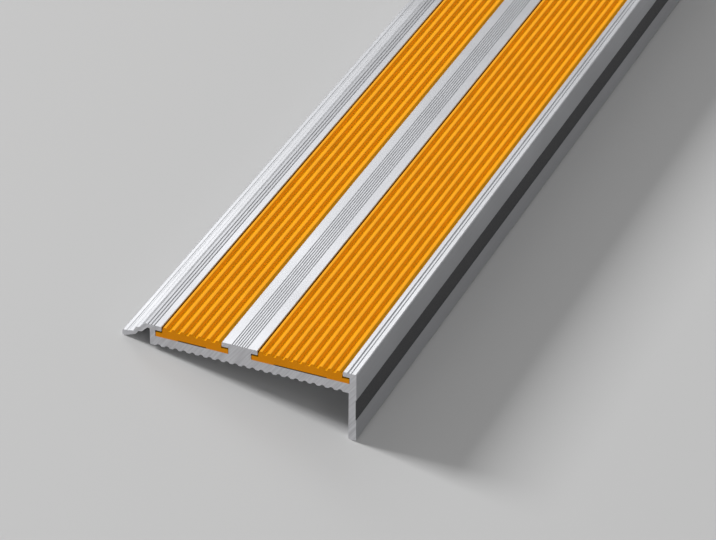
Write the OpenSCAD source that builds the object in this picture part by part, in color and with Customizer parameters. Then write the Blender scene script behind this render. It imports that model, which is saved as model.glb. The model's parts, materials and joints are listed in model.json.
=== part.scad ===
// Stair nosing: an extruded aluminium edge profile with two ribbed tread inserts
// and a thin dark strip along its riser leg. Millimetres, +Z up, +Y along the length.

/* [Length] */
// Cut length of the nosing
length = 1000; // [300:10:3000]

/* [Tread] */
// Thickness of the tread from its top lands to its bedding face
tread_t = 7.2; // [6:0.1:12]
// Width of the land along the nose
front_land = 4.4; // [4:0.1:10]
// Width of the land between the two inserts
centre_land = 11.9; // [8:0.1:30]
// Width of the land behind the rear insert
back_land = 5.6; // [4.8:0.1:15]
// Thickness of the wall behind the rear insert
back_wall_t = 1.8; // [1:0.1:3]

/* [Insert channels] */
// Depth of the channel floors below the lands
channel_depth = 3.8; // [3.6:0.1:4.6]
// Thickness of the lips that hold the inserts
lip_t = 1.6; // [0.9:0.1:1.8]
// Reach of each lip over the flange of its insert
lip_reach = 2.2; // [1:0.1:2.6]

/* [Inserts] */
// Number of ribs on the front insert
front_ribs = 10; // [5:1:16]
// Number of ribs on the rear insert
rear_ribs = 7; // [4:1:12]
// Distance from rib to rib on the front insert
front_rib_pitch = 2.83; // [2.4:0.01:4]
// Distance from rib to rib on the rear insert
rear_rib_pitch = 2.94; // [2.4:0.01:4]
// Height of the ribs above the grooves between them
rib_depth = 0.95; // [0.5:0.05:1.2]
// Width of the top of a rib
rib_top = 0.95; // [0.5:0.05:1.4]
// Run of the sloping side of a rib
rib_flank = 0.45; // [0.2:0.05:0.6]
// Size of the eased edges along the top of a rib
rib_ease = 0.12; // [0.05:0.01:0.25]
// Distance of the rib crests below the lands
crest_drop = 0; // [0:0.05:0.5]
// Distance of the first crest from the front edge of an insert
front_margin = 1.2; // [1:0.05:2]
// Distance of the last crest from the rear edge of an insert
rear_margin = 0.9; // [0.5:0.05:2]
// Thickness of the flange under the lips
flange_t = 1.5; // [1:0.1:1.8]
// Clearance between an insert and the lip edges
neck_gap = 0.25; // [0.1:0.05:0.8]
// Clearance between a flange and the ends of its channel
flange_gap = 0.15; // [0.05:0.05:0.5]
// Depth of the shallow relief under an insert
relief_depth = 0.35; // [0.1:0.05:0.8]
// Width of the bearing strip on each side of the relief
relief_margin = 7.4; // [3:0.1:9]

/* [Riser leg] */
// Height of the leg from the lands to its toe
leg_h = 24.1; // [20:0.1:60]
// Thickness of the leg
leg_t = 2.5; // [1.8:0.1:3]
// Radius of the two edges of the toe
toe_r = 0.6; // [0.2:0.05:0.85]
// Distance of the dark strip below the lands
strip_top = 9.45; // [3:0.05:12]
// Width of the dark strip
strip_w = 7; // [3:0.1:10]
// Thickness of the dark strip, which lies flush in its recess
strip_t = 0.2; // [0.2:0.05:0.8]
// Clearance beside the dark strip
strip_gap = 0.1; // [0.05:0.05:0.3]

/* [Tail lip] */
// Run of the upper riser of the tail
upper_riser_run = 1.95; // [0.5:0.05:3]
// Drop of the upper riser
upper_riser_drop = 1.95; // [1:0.05:2]
// Run of the short shelf between the two risers
short_shelf_run = 1.15; // [0.5:0.05:3]
// Drop of the short shelf from its inner end to its outer end
short_shelf_drop = 0.15; // [0.05:0.05:0.5]
// Drop of the lower riser
lower_riser_drop = 1.75; // [1:0.05:1.8]
// Run of the lower riser
lower_riser_run = 1; // [0.4:0.1:2]
// Run of the long shelf that ends at the tip
long_shelf_run = 3.7; // [2:0.1:8]
// Drop of the long shelf from its inner end to the tip
long_shelf_drop = 0.45; // [0.1:0.05:0.7]
// Height of the blunt tip
tip_h = 2.2; // [1.8:0.1:2.6]
// Thickness of the tail's upper steps, measured straight down
tail_t = 1.4; // [1:0.1:2]
// Thickness of the long shelf at its inner end
shelf_t = 1; // [0.8:0.1:1.6]
// Offset of the steps of the underside toward the nose
tail_offset = 0.75; // [0.3:0.05:1.5]

/* [Fine grooves] */
// Width of a fine V groove in the lands
groove_w = 0.4; // [0.2:0.05:0.7]
// Width of the V groove nearest to the front insert
inner_groove_w = 0.6; // [0.2:0.05:0.8]
// Pitch of the grooves on the back land
back_groove_pitch = 1.05; // [0.8:0.05:1.2]
// Number of grooves on the back land
back_grooves = 3; // [1:1:3]
// Distance of the outer groove from the rear edge of the back land
back_groove_inset = 1.1; // [0.4:0.05:1.2]
// Pitch of the grooves on the centre land
centre_groove_pitch = 0.82; // [0.75:0.01:1.1]
// Number of grooves on the centre land
centre_grooves = 7; // [1:2:7]
// Pitch of the grooves on the front land
front_groove_pitch = 1.05; // [0.8:0.05:1.5]
// Number of grooves on the front land
front_grooves = 2; // [1:1:2]
// Width of the shallow round groove along the long shelf of the tail
shelf_groove_w = 0.9; // [0.4:0.05:1.5]
// Depth of the shallow round groove
shelf_groove_depth = 0.15; // [0.05:0.01:0.2]

/* [Edges] */
// Radius of the nose edge
nose_r = 0.35; // [0.1:0.05:0.8]
// Radius of the edges of the lips
lip_r = 0.25; // [0.1:0.05:0.4]
// Radius of the two edges of the tip
tip_r = 0.5; // [0.1:0.05:0.8]
// Radius of the outer edges of the tail's steps
step_r = 0.4; // [0.1:0.05:0.8]

/* [Bedding notches] */
// Pitch of the adhesive notches in the bedding face
notch_pitch = 2.88; // [2.2:0.01:5]
// Width of an adhesive notch at the bedding face
notch_w = 1.75; // [0.8:0.05:2]
// Height of an adhesive notch
notch_h = 0.6; // [0.2:0.05:0.8]
// Least distance of the outer notches from the ends of the bedding face
notch_margin = 2.6; // [1.5:0.1:6]

/* [Hidden] */
$fn = 48;
// overshoot of a cut past the face it opens
over = 1;
// share of its radius by which an arc crosses the face beside it, which keeps the cuts clean
arc_bite = 0.002;

// widths of an insert's ribbed neck and of the opening it shows in
function neck_width(ribs, pitch) = front_margin + (ribs - 1) * pitch + rear_margin;
function opening_width(ribs, pitch) = neck_width(ribs, pitch) + 2 * neck_gap;
front_opening = opening_width(front_ribs, front_rib_pitch);
rear_opening = opening_width(rear_ribs, rear_rib_pitch);

// places across the section, counted back from the front face of the leg
front_lip_x = -front_land;
centre_front_x = front_lip_x - front_opening;
centre_back_x = centre_front_x - centre_land;
rear_lip_x = centre_back_x - rear_opening;
land_end_x = rear_lip_x - back_land;
back_face_x = rear_lip_x - lip_reach - back_wall_t;

// stepped top line of the tail, from the edge of the back land to the tip
tail_top = [
    [land_end_x, 0],
    [land_end_x - upper_riser_run, -upper_riser_drop],
    [land_end_x - upper_riser_run - short_shelf_run, -upper_riser_drop - short_shelf_drop],
    [land_end_x - upper_riser_run - short_shelf_run - lower_riser_run,
        -upper_riser_drop - short_shelf_drop - lower_riser_drop],
];
tip_x = tail_top[3].x - long_shelf_run;
tip_top_z = tail_top[3].y - long_shelf_drop;
tip_low_z = tip_top_z - tip_h;
tip_top = [tip_x, tip_top_z];
tip_low = [tip_x, tip_low_z];
tail_under = concat(
    [tail_top[3] + [tail_offset, -shelf_t]],
    [for (i = [2:-1:0]) tail_top[i] + [tail_offset, -tail_t]]
);

// row of adhesive notches, centred on the bedding face
bed_w = -leg_t - back_face_x;
bed_mid_x = (back_face_x - leg_t) / 2;
notch_count = floor((bed_w - 2 * notch_margin) / notch_pitch) + 1;

// radius of a round cut of the given width and depth
function cut_radius(width, depth) = (pow(width / 2, 2) + pow(depth, 2)) / (2 * depth);

// arc that rounds the corner p between the points a and b, and the length of face it takes up
function toward(p, q) = (q - p) / norm(q - p);
function half_angle(p, a, b) = acos(toward(p, a) * toward(p, b)) / 2;
function arc_run(p, a, b, r) = r * (1 - arc_bite) / tan(half_angle(p, a, b));
function arc_centre(p, a, b, r) =
    p + toward([0, 0], toward(p, a) + toward(p, b)) * arc_run(p, a, b, r) / cos(half_angle(p, a, b));

// pose at rest: the lower edge of the tip and the inner edge of the toe lie on the floor
toe_z = -leg_h + toe_r;
toe_centre = [-leg_t + toe_r, toe_z];
tip_low_centre = arc_centre(tip_low, tip_top, tail_under[0], tip_r);
tip_top_centre = arc_centre(tip_top, tip_low, tail_top[3], tip_r);
rest_run = toe_centre.x - tip_low_centre.x;
rest_fall = tip_low_centre.y - toe_centre.y;
tilt = atan2(rest_fall, rest_run) + asin((toe_r - tip_r) / norm([rest_run, rest_fall]));
function rest_x(p) = p.x * cos(tilt) - p.y * sin(tilt);
function rest_z(p) = p.x * sin(tilt) + p.y * cos(tilt);
rear_most_x = rest_x(tip_top_centre) - tip_r;
front_most_x = rest_x([-toe_r, toe_z]) + toe_r;
rest_mid_x = (rear_most_x + front_most_x) / 2;
floor_z = rest_z(tip_low_centre) - tip_r;

// runs a section along the length and lays it down as it rests on the floor
module laid_out() {
    translate([-rest_mid_x, 0, -floor_z])
        rotate([0, -tilt, 0])
            rotate([90, 0, 0])
                translate([0, 0, -length / 2])
                    linear_extrude(length)
                        children();
}

// outer outline of the extrusion, without its rounded edges
module outline() {
    polygon(concat(
        [[0, 0]],
        tail_top,
        [tip_top, tip_low],
        tail_under,
        [[back_face_x, -tail_t], [back_face_x, -tread_t], [-leg_t, -tread_t], [-leg_t, toe_z], [0, toe_z]]
    ));
}

// toe of the leg with its two rounded edges
module toe() {
    translate([-leg_t + toe_r, -leg_h])
        square([leg_t - 2 * toe_r, 2 * toe_r]);
    for (x = [-leg_t + toe_r, -toe_r])
        translate([x, toe_z])
            circle(toe_r);
}

// sharp corner at p between the points a and b, to be cut off so that an arc is left
module corner_cut(p, a, b, r) {
    centre = arc_centre(p, a, b, r);
    run = arc_run(p, a, b, r);
    difference() {
        polygon([centre, p + toward(p, a) * run, p - toward(p, centre) * over, p + toward(p, b) * run]);
        translate(centre)
            circle(r);
    }
}

module rounded_edges() {
    corner_cut([0, 0], [0, -leg_h], [front_lip_x, 0], nose_r);
    corner_cut(tip_top, tip_low, tail_top[3], tip_r);
    corner_cut(tip_low, tip_top, tail_under[0], tip_r);
    corner_cut(tail_top[0], [rear_lip_x, 0], tail_top[1], step_r);
    corner_cut(tail_top[2], tail_top[1], tail_top[3], step_r);
    for (lip = [[front_lip_x, 1], [centre_front_x, -1], [centre_back_x, 1], [rear_lip_x, -1]]) {
        corner_cut([lip.x, 0], [lip.x, -lip_t], [lip.x + lip.y, 0], lip_r);
        corner_cut([lip.x, -lip_t], [lip.x, 0], [lip.x + lip.y, -lip_t], lip_r);
    }
}

// undercut channel open between two lips
module channel(front_x, opening) {
    translate([front_x - opening, -channel_depth])
        square([opening, channel_depth + over]);
    translate([front_x - opening - lip_reach, -channel_depth])
        square([opening + 2 * lip_reach, channel_depth - lip_t]);
}

// fine V groove at a point of the surface
module groove(at, width) {
    translate(at)
        rotate(45)
            square(width / sqrt(2), center = true);
}

// row of fine V grooves centred on a point of the surface
module groove_row(mid, count, pitch) {
    for (i = [0:count - 1])
        groove(mid + [(i - (count - 1) / 2) * pitch, 0], groove_w);
}

module fine_grooves() {
    groove_row([front_lip_x / 2, 0], front_grooves, front_groove_pitch);
    groove([(front_lip_x - (front_grooves - 1) * front_groove_pitch) / 2, 0], inner_groove_w);
    groove_row([(centre_front_x + centre_back_x) / 2, 0], centre_grooves, centre_groove_pitch);
    groove_row([land_end_x + back_groove_inset + (back_grooves - 1) / 2 * back_groove_pitch, 0],
        back_grooves, back_groove_pitch);
    shelf_groove_r = cut_radius(shelf_groove_w, shelf_groove_depth);
    shelf_mid_z = tip_top_z + long_shelf_drop / 2;
    translate([tip_x + long_shelf_run / 2, shelf_mid_z - shelf_groove_depth + shelf_groove_r])
        circle(shelf_groove_r);
}

module adhesive_notches() {
    notch_r = cut_radius(notch_w, notch_h);
    for (i = [0:notch_count - 1])
        translate([bed_mid_x + (i - (notch_count - 1) / 2) * notch_pitch, -tread_t + notch_h - notch_r])
            circle(notch_r);
}

module strip_recess() {
    translate([-strip_t, -strip_top - strip_w - strip_gap])
        square([strip_t + over, strip_w + 2 * strip_gap]);
}

// one groove between two ribs, open at the top, with eased edges
module rib_groove(pitch) {
    mouth = (pitch - rib_top) / 2;
    left = [
        [-mouth - rib_ease, over],
        [-mouth - rib_ease, 0],
        [-mouth + rib_flank * rib_ease / rib_depth, -rib_ease],
        [-mouth + rib_flank, -rib_depth],
    ];
    polygon(concat(left, [for (i = [3:-1:0]) [-left[i].x, left[i].y]]));
}

// ribbed insert with a flange under the lips, its front edge at front_x
module insert_section(front_x, ribs, pitch) {
    neck = neck_width(ribs, pitch);
    flange = opening_width(ribs, pitch) + 2 * (lip_reach - flange_gap);
    translate([front_x - neck_gap - neck, 0])
        difference() {
            translate([0, -channel_depth + relief_depth])
                square([neck, channel_depth - relief_depth - crest_drop]);
            for (i = [0:ribs])
                translate([rear_margin + (i - 0.5) * pitch, -crest_drop])
                    rib_groove(pitch);
        }
    translate([front_x + lip_reach - flange_gap - flange, -channel_depth])
        difference() {
            square([flange, flange_t]);
            translate([relief_margin, -over])
                square([flange - 2 * relief_margin, relief_depth + over]);
        }
}

module aluminium_profile() {
    color("silver")
        laid_out()
            difference() {
                union() {
                    outline();
                    toe();
                }
                channel(front_lip_x, front_opening);
                channel(centre_back_x, rear_opening);
                fine_grooves();
                adhesive_notches();
                strip_recess();
                rounded_edges();
            }
}

module front_insert() {
    color("orange")
        laid_out()
            insert_section(front_lip_x, front_ribs, front_rib_pitch);
}

module rear_insert() {
    color("orange")
        laid_out()
            insert_section(centre_back_x, rear_ribs, rear_rib_pitch);
}

module riser_strip() {
    color("dimgray")
        laid_out()
            translate([-strip_t, -strip_top - strip_w])
                square([strip_t, strip_w]);
}

aluminium_profile();
front_insert();
rear_insert();
riser_strip();
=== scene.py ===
import json
import math

import bmesh
import bpy
from mathutils import Matrix, Quaternion, Vector

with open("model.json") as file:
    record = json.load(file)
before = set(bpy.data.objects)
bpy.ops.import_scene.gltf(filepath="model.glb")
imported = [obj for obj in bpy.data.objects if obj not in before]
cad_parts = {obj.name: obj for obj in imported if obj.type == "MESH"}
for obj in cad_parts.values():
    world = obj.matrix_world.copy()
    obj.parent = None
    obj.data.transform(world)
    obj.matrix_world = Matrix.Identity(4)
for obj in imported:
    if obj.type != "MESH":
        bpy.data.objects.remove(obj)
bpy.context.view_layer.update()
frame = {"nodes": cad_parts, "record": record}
nodes = frame["nodes"]
scene = bpy.context.scene
mm = 0.001

# axes of the section: the nosing rests tilted, and the bedding face shows by how much
beddingAxis = next(m["axis"] for m in frame["record"]["mounts"] if m["name"] == "bedding_face")
upAxis = -Vector(beddingAxis)
alongAxis = Vector((0, 1, 0))
acrossAxis = alongAxis.cross(upAxis)
profilePoints = [v.co for v in nodes["aluminium_profile"].data.vertices]
# where the planes of the leg's front face and of the lands would meet, at the near end
legFace = max(p.dot(acrossAxis) for p in profilePoints)
landLevel = max(p.dot(upAxis) for p in profilePoints)
nearEnd = min(p.y for p in profilePoints)
noseCorner = acrossAxis * legFace + upAxis * landLevel + alongAxis * nearEnd

colourA, colourB, mixedColour = 6, 7, 2  # a Mix node's colour sockets go by number
noiseLow, noiseHigh = 0.3, 0.7  # nearly all values of a noise lie between these
endFacing = 0.9  # a face that looks along the length by more than this is a cut end


def inSection(across, along, up):
    return acrossAxis * across + alongAxis * along + upAxis * up


def srgb(code):
    channels = [int(code[i:i + 2], 16) / 255 for i in (1, 3, 5)]
    return [c / 12.92 if c <= 0.04045 else ((c + 0.055) / 1.055) ** 2.4 for c in channels] + [1.0]


def addNode(tree, kind, settings=None, values=None, links=None):
    node = tree.nodes.new(kind)
    for name, value in (settings or {}).items():
        setattr(node, name, value)
    for socket, value in (values or {}).items():
        node.inputs[socket].default_value = value
    for socket, source in (links or {}).items():
        tree.links.new(source, node.inputs[socket])
    return node


def newMaterial(name):
    material = bpy.data.materials.new(name)
    material.use_nodes = True
    return material, material.node_tree, material.node_tree.nodes["Principled BSDF"]


# values that stretch a noise from low to high
def noiseTo(low, high):
    return {"From Min": noiseLow, "From Max": noiseHigh, "To Min": low, "To Max": high}


# 1 on the two cut ends and 0 elsewhere
def cutEnds(tree, normal):
    along = addNode(tree, "ShaderNodeVectorMath", {"operation": "DOT_PRODUCT"}, {1: alongAxis}, {0: normal})
    eitherWay = addNode(tree, "ShaderNodeMath", {"operation": "ABSOLUTE"}, None,
                        {0: along.outputs["Value"]})
    return addNode(tree, "ShaderNodeMath", {"operation": "GREATER_THAN"}, {1: endFacing},
                   {0: eitherWay.outputs[0]}).outputs[0]


# the height is in metres
def wireShader(tree, shader, colour, roughness, height):
    bump = addNode(tree, "ShaderNodeBump", None, {"Strength": 1, "Distance": 1}, {"Height": height})
    tree.links.new(colour, shader.inputs["Base Color"])
    tree.links.new(roughness, shader.inputs["Roughness"])
    tree.links.new(bump.outputs[0], shader.inputs["Normal"])


print("frame loaded, section axes found")

# satin extruded aluminium: bright lands with long die lines, a painted highlight where the nose and the
# tail face up, painted shade over the grooves of the back land, and a duller sawn end
aluminium = {
    "colour": "#C6C7CA",
    "streakColour": "#BCBDC1",
    "streak": (0.5, 160, 0.5),  # mm across and along a die line
    "streakDetail": 1,
    "lineDepth": 0.004,
    "patch": 35,  # mm, cloudy changes of gloss
    "patchDetail": 4,
    "patchRoughness": 0.55,
    "roughness": (0.28, 0.40),
    # painted highlight: a paler grey on upward faces near the nose and on the tail
    "highlightColour": "#CCCDD0",
    "highlightWidth": 5,  # mm from the leg's face
    "tailHighlightBand": (71, 73),  # mm behind the leg's face, where the painted highlight on the tail sets in
    "tailWear": 0.5,
    # painted shade: a darker band over the grooves of the back land
    "grooveShadeColour": "#EDEDED",
    "grooveShadeBand": (66.9, 71),  # mm behind the leg's face
    "sawnColour": "#D2D2D5",
    "sawnDarkColour": "#BEBEC1",
    "sawnRoughness": 0.5,
    # real saw lines are about 0.2 mm apart, drawn coarser so that they show
    "saw": (0.7, 1, 14),
    "sawTurn": 24,
    "sawDetail": 2,
    "sawSpan": (0.35, 0.65),
    "sawDepth": 0.05,
}
material, tree, shader = newMaterial("satin extruded aluminium")
place = addNode(tree, "ShaderNodeTexCoord").outputs["Object"]
normal = addNode(tree, "ShaderNodeNewGeometry").outputs["Normal"]
sawn = cutEnds(tree, normal)

# die lines, gloss patches and saw lines
perMetre = [1 / (size * mm) for size in aluminium["streak"]]
streakPlace = addNode(tree, "ShaderNodeVectorMath", {"operation": "MULTIPLY"}, {1: perMetre}, {0: place})
streak = addNode(tree, "ShaderNodeTexNoise", None, {"Scale": 1, "Detail": aluminium["streakDetail"]},
                 {"Vector": streakPlace.outputs[0]}).outputs["Fac"]
patch = addNode(tree, "ShaderNodeTexNoise", None,
                {"Scale": 1 / (aluminium["patch"] * mm), "Detail": aluminium["patchDetail"],
                 "Roughness": aluminium["patchRoughness"]}, {"Vector": place}).outputs["Fac"]
sawPlace = addNode(tree, "ShaderNodeMapping", {"vector_type": "TEXTURE"},
                   {"Rotation": (0, math.radians(aluminium["sawTurn"]), 0),
                    "Scale": [size * mm for size in aluminium["saw"]]}, {"Vector": place})
sawLine = addNode(tree, "ShaderNodeTexNoise", None, {"Scale": 1, "Detail": aluminium["sawDetail"]},
                  {"Vector": sawPlace.outputs[0]}).outputs["Fac"]
drawnColour = addNode(tree, "ShaderNodeMix", {"data_type": "RGBA"},
                      {colourA: srgb(aluminium["streakColour"]), colourB: srgb(aluminium["colour"])},
                      {"Factor": streak})

# a painted highlight: a paler grey on what faces up at the nose and on the tail
fromSide = addNode(tree, "ShaderNodeVectorMath", {"operation": "DOT_PRODUCT"}, {1: acrossAxis},
                   {0: place}).outputs["Value"]
nearNose = addNode(tree, "ShaderNodeMapRange", None,
                   {"From Min": legFace - aluminium["highlightWidth"] * mm, "From Max": legFace},
                   {"Value": fromSide})
tailFrom, tailTo = aluminium["tailHighlightBand"]
onTail = addNode(tree, "ShaderNodeMapRange", None,
                 {"From Min": legFace - tailFrom * mm, "From Max": legFace - tailTo * mm,
                  "To Max": aluminium["tailWear"]}, {"Value": fromSide})
highlightZone = addNode(tree, "ShaderNodeMath", {"operation": "MAXIMUM"}, None,
                 {0: nearNose.outputs[0], 1: onTail.outputs[0]})
facingUp = addNode(tree, "ShaderNodeVectorMath", {"operation": "DOT_PRODUCT"}, {1: upAxis}, {0: normal})
paintedHighlight = addNode(tree, "ShaderNodeMath", {"operation": "MULTIPLY", "use_clamp": True}, None,
               {0: highlightZone.outputs[0], 1: facingUp.outputs["Value"]})
highlightedColour = addNode(tree, "ShaderNodeMix", {"data_type": "RGBA"},
                    {colourB: srgb(aluminium["highlightColour"])},
                    {"Factor": paintedHighlight.outputs[0], colourA: drawnColour.outputs[mixedColour]})

# painted shade: a darker band over the back land, to deepen the shade in its grooves
shadeFrom, shadeTo = aluminium["grooveShadeBand"]
grooveShadeMask = addNode(tree, "ShaderNodeMath", {"operation": "COMPARE"},
                {1: legFace - (shadeFrom + shadeTo) / 2 * mm, 2: (shadeTo - shadeFrom) / 2 * mm},
                {0: fromSide})
grooveShadedColour = addNode(tree, "ShaderNodeMix", {"data_type": "RGBA", "blend_type": "MULTIPLY"},
                      {colourB: srgb(aluminium["grooveShadeColour"])},
                      {"Factor": grooveShadeMask.outputs[0], colourA: highlightedColour.outputs[mixedColour]})

# the sawn ends take their own colour, roughness and lines
sawLow, sawHigh = aluminium["sawSpan"]
sawFade = addNode(tree, "ShaderNodeMapRange", None, {"From Min": sawLow, "From Max": sawHigh},
                  {"Value": sawLine})
sawnColour = addNode(tree, "ShaderNodeMix", {"data_type": "RGBA"},
                     {colourA: srgb(aluminium["sawnDarkColour"]), colourB: srgb(aluminium["sawnColour"])},
                     {"Factor": sawFade.outputs[0]})
colour = addNode(tree, "ShaderNodeMix", {"data_type": "RGBA"}, None,
                 {"Factor": sawn, colourA: grooveShadedColour.outputs[mixedColour],
                  colourB: sawnColour.outputs[mixedColour]})
drawnRoughness = addNode(tree, "ShaderNodeMapRange", None, noiseTo(*aluminium["roughness"]),
                         {"Value": patch})
roughness = addNode(tree, "ShaderNodeMix", None, {"B": aluminium["sawnRoughness"]},
                    {"Factor": sawn, "A": drawnRoughness.outputs[0]})
lineHeight = addNode(tree, "ShaderNodeMath", {"operation": "MULTIPLY"},
                     {1: aluminium["lineDepth"] * mm}, {0: streak})
sawHeight = addNode(tree, "ShaderNodeMath", {"operation": "MULTIPLY"},
                    {1: aluminium["sawDepth"] * mm}, {0: sawLine})
height = addNode(tree, "ShaderNodeMix", None, None,
                 {"Factor": sawn, "A": lineHeight.outputs[0], "B": sawHeight.outputs[0]})
wireShader(tree, shader, colour.outputs[mixedColour], roughness.outputs[0], height.outputs[0])
shader.inputs["Metallic"].default_value = 1
nodes["aluminium_profile"].data.materials[0] = material
print("aluminium set")

# orange soft vinyl, extruded: satin; the crests are painted a paler, duller orange as a painted sheen, the
# valleys a fuller, brighter orange as painted light against their shade
insert = {
    # painted light: paler crests as a painted sheen, brighter valleys to lift their shade
    "crestSheenColour": "#E1981D",
    "valleyLitColour": "#EAA505",
    # painted shade: the cut ends take a darker orange
    "cutShadeColour": "#CF800A",
    "crest": 0,  # levels are mm above the lands
    "valley": -0.95,
    # painted shade in the gaps under the lips, from gapTop down to gapFloor
    "gapTop": -1.4,
    "gapFloor": -1.9,
    "gapShade": 0.62,
    "mottle": 9,  # mm
    "mottleDetail": 4,
    "mottleShade": (0.95, 1.04),
    # the real grain is about 0.1 mm, drawn coarser so that it shows
    "grain": 0.45,
    "grainDetail": 2,
    "grainDepth": 0.012,
    "roughness": (0.52, 0.66),
    "specular": 0.05,
}
material, tree, shader = newMaterial("orange soft vinyl")
place = addNode(tree, "ShaderNodeTexCoord").outputs["Object"]
normal = addNode(tree, "ShaderNodeNewGeometry").outputs["Normal"]
cut = cutEnds(tree, normal)
level = addNode(tree, "ShaderNodeVectorMath", {"operation": "DOT_PRODUCT"}, {1: upAxis},
                {0: place}).outputs["Value"]
ribHeight = addNode(tree, "ShaderNodeMapRange", None,
               {"From Min": landLevel + insert["valley"] * mm,
                "From Max": landLevel + insert["crest"] * mm}, {"Value": level})
mottle = addNode(tree, "ShaderNodeTexNoise", None,
                 {"Scale": 1 / (insert["mottle"] * mm), "Detail": insert["mottleDetail"]},
                 {"Vector": place}).outputs["Fac"]
grain = addNode(tree, "ShaderNodeTexNoise", None,
                {"Scale": 1 / (insert["grain"] * mm), "Detail": insert["grainDetail"]},
                {"Vector": place}).outputs["Fac"]
# colour by height on the ribs, with a painted sheen on the crests and painted light in the valleys
paintedRibColour = addNode(tree, "ShaderNodeMix", {"data_type": "RGBA"},
                    {colourA: srgb(insert["valleyLitColour"]), colourB: srgb(insert["crestSheenColour"])},
                    {"Factor": ribHeight.outputs[0]})
# painted shade: the cut ends are painted a darker orange
endShadedColour = addNode(tree, "ShaderNodeMix", {"data_type": "RGBA"}, {colourB: srgb(insert["cutShadeColour"])},
                     {"Factor": cut, colourA: paintedRibColour.outputs[mixedColour]})
mottleShade = addNode(tree, "ShaderNodeMapRange", None, noiseTo(*insert["mottleShade"]),
                      {"Value": mottle})
# painted shade darkens the gaps beside and under the lips, but not the cut end
gap = addNode(tree, "ShaderNodeMapRange", None,
              {"From Min": landLevel + insert["gapFloor"] * mm,
               "From Max": landLevel + insert["gapTop"] * mm, "To Min": insert["gapShade"]},
              {"Value": level})
gapShade = addNode(tree, "ShaderNodeMath", {"operation": "MAXIMUM"}, None, {0: gap.outputs[0], 1: cut})
shade = addNode(tree, "ShaderNodeMath", {"operation": "MULTIPLY"}, None,
                {0: mottleShade.outputs[0], 1: gapShade.outputs[0]})
colour = addNode(tree, "ShaderNodeVectorMath", {"operation": "SCALE"}, None,
                 {0: endShadedColour.outputs[mixedColour], "Scale": shade.outputs[0]})
roughness = addNode(tree, "ShaderNodeMapRange", None, noiseTo(*insert["roughness"]), {"Value": mottle})
grainHeight = addNode(tree, "ShaderNodeMath", {"operation": "MULTIPLY"},
                      {1: insert["grainDepth"] * mm}, {0: grain})
wireShader(tree, shader, colour.outputs[0], roughness.outputs[0], grainHeight.outputs[0])
shader.inputs["Specular IOR Level"].default_value = insert["specular"]
for name in ("front_insert", "rear_insert"):
    nodes[name].data.materials[0] = material
print("inserts set")

# matt charcoal film: nearly black with a dry, fine grain
strip = {
    "colour": "#2A2A2C",
    "paleColour": "#323234",
    "grain": 0.5,  # mm, coarser than real so that it shows
    "grainDetail": 3,
    "grainDepth": 0.008,
    "roughness": (0.5, 0.65),
}
material, tree, shader = newMaterial("matt charcoal film")
place = addNode(tree, "ShaderNodeTexCoord").outputs["Object"]
grain = addNode(tree, "ShaderNodeTexNoise", None,
                {"Scale": 1 / (strip["grain"] * mm), "Detail": strip["grainDetail"]},
                {"Vector": place}).outputs["Fac"]
colour = addNode(tree, "ShaderNodeMix", {"data_type": "RGBA"},
                 {colourA: srgb(strip["colour"]), colourB: srgb(strip["paleColour"])}, {"Factor": grain})
roughness = addNode(tree, "ShaderNodeMapRange", None, noiseTo(*strip["roughness"]), {"Value": grain})
grainHeight = addNode(tree, "ShaderNodeMath", {"operation": "MULTIPLY"},
                      {1: strip["grainDepth"] * mm}, {0: grain})
wireShader(tree, shader, colour.outputs[mixedColour], roughness.outputs[0], grainHeight.outputs[0])
nodes["riser_strip"].data.materials[0] = material
print("strip set")

# plain pale floor under a pale sky
studio = {
    "floorSize": 10,  # metres
    "floorColour": "#BEBEBE",
    "floorRoughness": 0.9,
    "skyColour": "#FFFFFF",
    "skyLight": 0.26,  # what the sky adds to the lamps
    "skyShown": 0.46,  # how pale it is behind the floor and in the metal
}
floorMesh = bpy.data.meshes.new("floor")
shape = bmesh.new()
bmesh.ops.create_grid(shape, x_segments=1, y_segments=1, size=studio["floorSize"] / 2)
shape.to_mesh(floorMesh)
shape.free()
floor = bpy.data.objects.new("floor", floorMesh)
scene.collection.objects.link(floor)
material, tree, shader = newMaterial("pale matt floor")
shader.inputs["Base Color"].default_value = srgb(studio["floorColour"])
shader.inputs["Roughness"].default_value = studio["floorRoughness"]
floorMesh.materials.append(material)

world = bpy.data.worlds.new("studio")
scene.world = world
world.use_nodes = True
tree = world.node_tree
path = addNode(tree, "ShaderNodeLightPath").outputs
mirrored = addNode(tree, "ShaderNodeMath", {"operation": "MAXIMUM"}, None,
                   {0: path["Is Glossy Ray"], 1: path["Is Transmission Ray"]})
shown = addNode(tree, "ShaderNodeMath", {"operation": "MAXIMUM"}, None,
                {0: path["Is Camera Ray"], 1: mirrored.outputs[0]})
strength = addNode(tree, "ShaderNodeMapRange", None,
                   {"To Min": studio["skyLight"], "To Max": studio["skyShown"]},
                   {"Value": shown.outputs[0]})
sky = tree.nodes["Background"]
sky.inputs["Color"].default_value = srgb(studio["skyColour"])
tree.links.new(strength.outputs[0], sky.inputs["Strength"])
print("floor and sky set")

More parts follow.
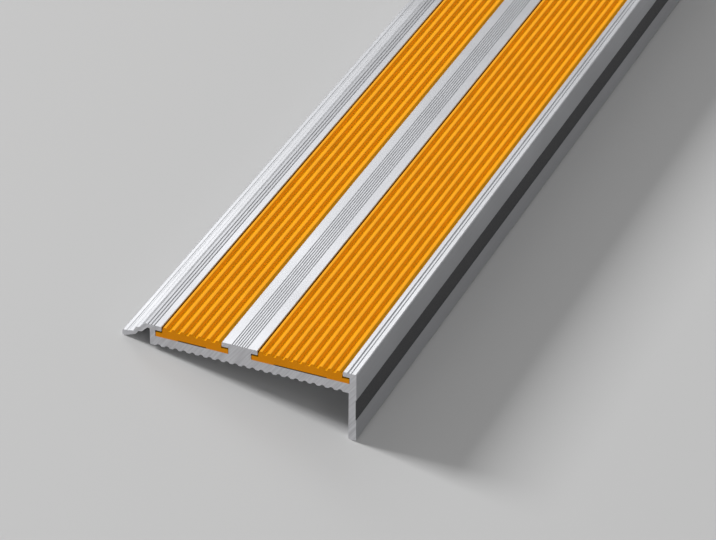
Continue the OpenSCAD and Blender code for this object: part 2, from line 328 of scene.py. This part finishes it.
# lamps stand in the given direction from the middle of the part of the tread that the picture shows,
# with distance and size in metres, turn in degrees and power in watts
litSpot = (-35, 80, 0)  # mm from the nose corner
litPoint = noseCorner + inSection(*litSpot) * mm
lamps = [
    {"name": "back softbox", "toward": (-0.399, 0.659, 0.637), "distance": 2.5,
     "size": (0.911, 2.259), "turn": 30.9, "power": 12.1},
    {"name": "left key", "toward": (-0.76, -0.15, 0.63), "distance": 6,
     "size": (1.5, 1.5), "turn": 0, "power": 440},
    {"name": "front fill", "toward": (0.05, -0.94, 0.33), "distance": 4,
     "size": (2.4, 1.6), "turn": 0, "power": 32},
    {"name": "right fill", "toward": (0.75, -0.35, 0.5), "distance": 4,
     "size": (2.4, 1.6), "turn": 0, "power": 20},
]
for lamp in lamps:
    data = bpy.data.lights.new(lamp["name"], "AREA")
    data.shape = "RECTANGLE"
    data.size, data.size_y = lamp["size"]
    data.energy = lamp["power"]
    lampObject = bpy.data.objects.new(lamp["name"], data)
    lampObject.visible_camera = False
    toward = inSection(*lamp["toward"]).normalized()
    lampObject.location = litPoint + toward * lamp["distance"]
    turn = Quaternion((0, 0, 1), math.radians(lamp["turn"]))
    lampObject.rotation_euler = (toward.to_track_quat("Z", "Y") @ turn).to_euler()
    scene.collection.objects.link(lampObject)
print("lamps set")

# camera where the photograph was taken from, fitted to the section's long edges
view = {
    "sensorWidth": 36,
    "lens": 176.35,
    "azimuth": 22.924,  # degrees, as are elevation and roll
    "elevation": 32.775,
    "roll": 0.376,
    "aim": (-22.374, 53.581, 0),  # mm from the nose corner
    "distance": 1095.997,  # mm
}
azimuth, elevation, roll = (math.radians(view[k]) for k in ("azimuth", "elevation", "roll"))
backward = inSection(math.sin(azimuth) * math.cos(elevation), -math.cos(azimuth) * math.cos(elevation),
                     math.sin(elevation))
levelRight = upAxis.cross(backward).normalized()
levelUp = backward.cross(levelRight)
right = levelRight * math.cos(roll) + levelUp * math.sin(roll)
up = backward.cross(right)
cameraData = bpy.data.cameras.new("camera")
cameraData.sensor_width = view["sensorWidth"]
cameraData.lens = view["lens"]
camera = bpy.data.objects.new("camera", cameraData)
spot = noseCorner + inSection(*view["aim"]) * mm + backward * view["distance"] * mm
camera.matrix_world = Matrix.Translation(spot) @ Matrix((right, up, backward)).transposed().to_4x4()
scene.collection.objects.link(camera)
scene.camera = camera
scene.view_settings.view_transform = "Standard"
print("camera set")
